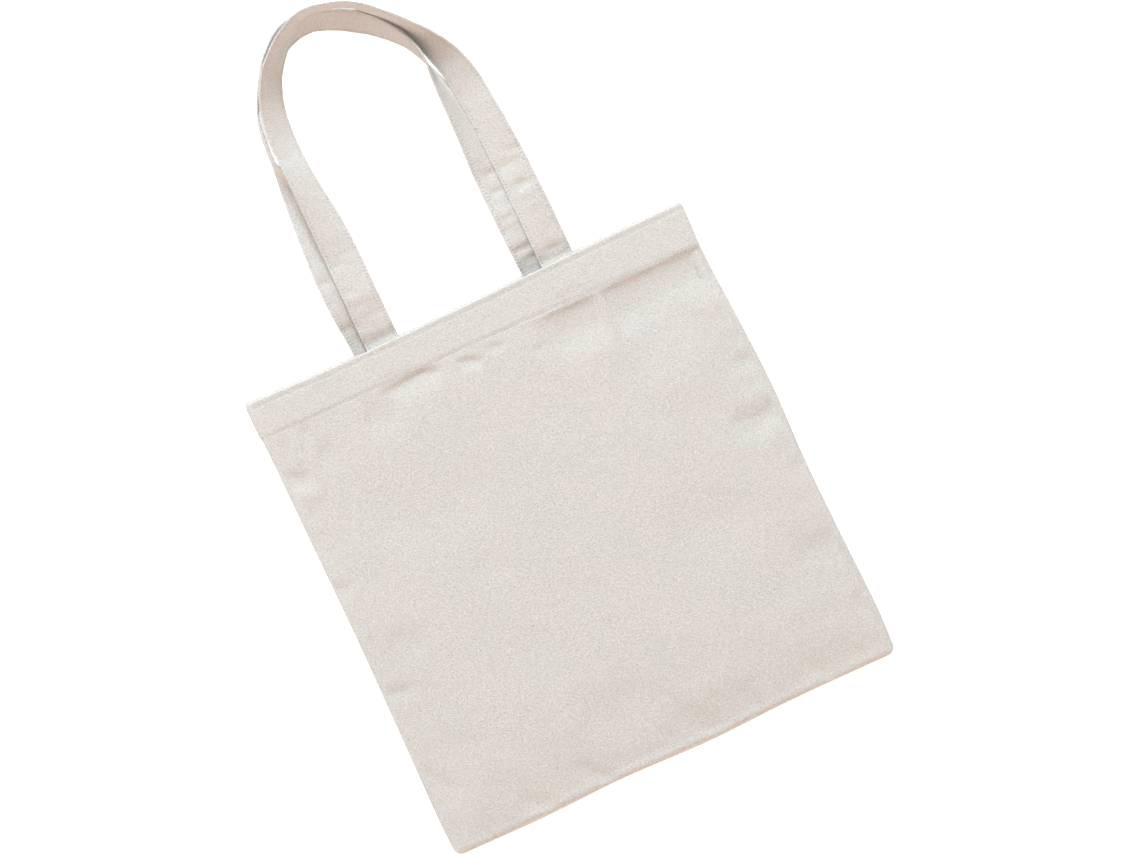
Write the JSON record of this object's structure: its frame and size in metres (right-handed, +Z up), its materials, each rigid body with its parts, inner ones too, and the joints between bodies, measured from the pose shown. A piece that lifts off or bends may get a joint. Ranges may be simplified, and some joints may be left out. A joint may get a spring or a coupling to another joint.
{
  "type": "canvas tote bag",
  "caption": "Flat square canvas shopping bag lying on its back, with a deep turned hem at the open mouth and long loop handles stretched out beyond it.",
  "frame": {"origin": "on the resting surface, under the middle of the whole object's bounding box", "axes": "+Y from the bottom seam towards the mouth and handles, +X across the bag to the right seen from the front, +Z up out of the front panel"},
  "size_m": [0.38, 0.6602, 0.0533],
  "materials": {
    "canvas": "matte plain-weave natural cotton canvas",
    "strap_canvas": "matte folded cotton canvas webbing",
    "thread": "twisted cotton sewing thread, slight sheen"
  },
  "bodies": {
    "bag": {"back_panel": "canvas", "front_panel": "canvas", "back_hem": "canvas", "front_hem": "canvas", "left_seam_allowance": "canvas", "left_seam_thread": "thread", "right_seam_allowance": "canvas", "right_seam_thread": "thread", "bottom_seam_allowance": "canvas", "bottom_seam_thread": "thread", "front_mouth_stitching": "thread", "front_hem_stitching": "thread", "back_mouth_stitching": "thread", "back_hem_stitching": "thread", "front_handle_left_end": "strap_canvas", "back_handle_left_end": "strap_canvas", "front_handle_right_end": "strap_canvas", "back_handle_right_end": "strap_canvas"},
    "front_handle": {"front_handle_strap": "strap_canvas", "front_handle_lower_stitching": "thread", "front_handle_upper_stitching": "thread"},
    "back_handle": {"back_handle_strap": "strap_canvas", "back_handle_lower_stitching": "thread", "back_handle_upper_stitching": "thread"}
  },
  "joints": [
    {"name": "front_handle_flop", "type": "hinge", "parent": "bag", "child": "front_handle", "pos_m": [0, 0.0655, 0.0155], "axis": [1, 0, 0], "range_deg": [0, 170]},
    {"name": "back_handle_flop", "type": "hinge", "parent": "bag", "child": "back_handle", "pos_m": [0, 0.0655, -0.0005], "axis": [1, 0, 0], "range_deg": [-170, 0]}
  ]
}
